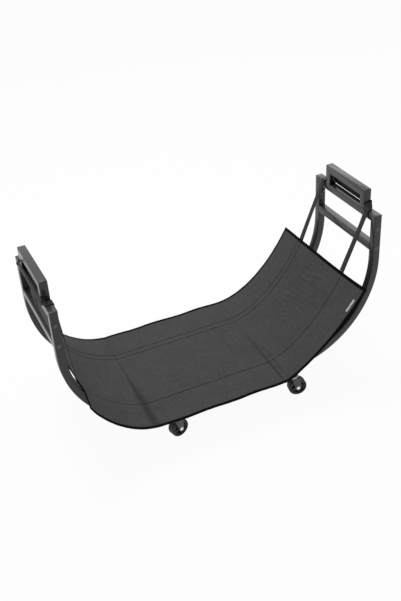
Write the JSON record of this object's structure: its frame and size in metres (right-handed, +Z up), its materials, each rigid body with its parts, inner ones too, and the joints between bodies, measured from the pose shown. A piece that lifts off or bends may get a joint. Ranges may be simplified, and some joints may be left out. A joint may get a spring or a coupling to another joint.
{
  "type": "fireside log cart",
  "caption": "Rolling log cart: two bent tube rails joined by cross tubes with raised handle frames, on swivel casters, holding a lift-off cloth log carrier hung by its straps.",
  "frame": {"origin": "middle of the footprint, on the floor", "axes": "+X along the cart to the end whose cloth hangs clear, +Y to the back, +Z up"},
  "size_m": [0.8713, 0.415, 0.509],
  "materials": {
    "frame_paint": "fine satin powder coat",
    "black_plastic": "matt",
    "zinc_steel": "zinc plated",
    "bright_steel": "bright",
    "black_steel": "satin",
    "wheel_plastic": "moulded satin",
    "tyre_rubber": "smooth rubber",
    "carrier_canvas": "plain woven canvas",
    "binding_tape": "ribbed tape",
    "tag_tape": "satin tape, blank",
    "webbing": "flat woven webbing"
  },
  "bodies": {
    "frame": {"front_rail": "frame_paint", "back_rail": "frame_paint", "left_upper_crossbar": "frame_paint", "right_upper_crossbar": "frame_paint", "left_lower_crossbar": "frame_paint", "right_lower_crossbar": "frame_paint", "left_handle_frame": "frame_paint", "right_handle_frame": "frame_paint", "corner_connectors": "black_plastic", "crossbar_inserts": "zinc_steel", "rail_bolts": "zinc_steel", "rail_nuts": "black_steel", "crossbar_bolts": "zinc_steel", "hole_plugs": "black_plastic", "left_base_bar": "frame_paint", "right_base_bar": "frame_paint", "base_bar_screws": "zinc_steel", "caster_bosses": "frame_paint", "front_left_caster_stem": "zinc_steel", "back_left_caster_stem": "zinc_steel", "front_right_caster_stem": "zinc_steel", "back_right_caster_stem": "zinc_steel"},
    "carrier": {"carrier_cloth": "carrier_canvas", "carrier_binding": "binding_tape", "carrier_tag": "tag_tape", "front_web": "webbing", "back_web": "webbing", "left_strap_loop": "webbing", "right_strap_loop": "webbing"},
    "front_left_swivel": {"front_left_caster_raceway": "zinc_steel", "front_left_caster_fork": "black_steel", "front_left_caster_axle": "bright_steel"},
    "front_left_wheel": {"front_left_caster_wheel": "wheel_plastic", "front_left_caster_tyre": "tyre_rubber"},
    "back_left_swivel": {"back_left_caster_raceway": "zinc_steel", "back_left_caster_fork": "black_steel", "back_left_caster_axle": "bright_steel"},
    "back_left_wheel": {"back_left_caster_wheel": "wheel_plastic", "back_left_caster_tyre": "tyre_rubber"},
    "front_right_swivel": {"front_right_caster_raceway": "zinc_steel", "front_right_caster_fork": "black_steel", "front_right_caster_axle": "bright_steel"},
    "front_right_wheel": {"front_right_caster_wheel": "wheel_plastic", "front_right_caster_tyre": "tyre_rubber"},
    "back_right_swivel": {"back_right_caster_raceway": "zinc_steel", "back_right_caster_fork": "black_steel", "back_right_caster_axle": "bright_steel"},
    "back_right_wheel": {"back_right_caster_wheel": "wheel_plastic", "back_right_caster_tyre": "tyre_rubber"}
  },
  "joints": [
    {"name": "carrier_lift", "type": "slide", "parent": "frame", "child": "carrier", "axis": [0, 0, 1], "range_m": [0, 0.43]},
    {"name": "front_left_swivel_turn", "type": "hinge", "parent": "frame", "child": "front_left_swivel", "pos_m": [-0.171, -0.15, 0.058], "axis": [0, 0, 1], "continuous": true},
    {"name": "front_left_wheel_spin", "type": "hinge", "parent": "front_left_swivel", "child": "front_left_wheel", "pos_m": [-0.16134, -0.14741, 0.0245], "axis": [0.2588, -0.9659, 0], "continuous": true},
    {"name": "back_left_swivel_turn", "type": "hinge", "parent": "frame", "child": "back_left_swivel", "pos_m": [-0.171, 0.15, 0.058], "axis": [0, 0, 1], "continuous": true},
    {"name": "back_left_wheel_spin", "type": "hinge", "parent": "back_left_swivel", "child": "back_left_wheel", "pos_m": [-0.16134, 0.15259, 0.0245], "axis": [0.2588, -0.9659, 0], "continuous": true},
    {"name": "front_right_swivel_turn", "type": "hinge", "parent": "frame", "child": "front_right_swivel", "pos_m": [0.171, -0.15, 0.058], "axis": [0, 0, 1], "continuous": true},
    {"name": "front_right_wheel_spin", "type": "hinge", "parent": "front_right_swivel", "child": "front_right_wheel", "pos_m": [0.18085, -0.15174, 0.0245], "axis": [-0.1736, -0.9848, 0], "continuous": true},
    {"name": "back_right_swivel_turn", "type": "hinge", "parent": "frame", "child": "back_right_swivel", "pos_m": [0.171, 0.15, 0.058], "axis": [0, 0, 1], "continuous": true},
    {"name": "back_right_wheel_spin", "type": "hinge", "parent": "back_right_swivel", "child": "back_right_wheel", "pos_m": [0.18085, 0.14826, 0.0245], "axis": [-0.1736, -0.9848, 0], "continuous": true}
  ]
}
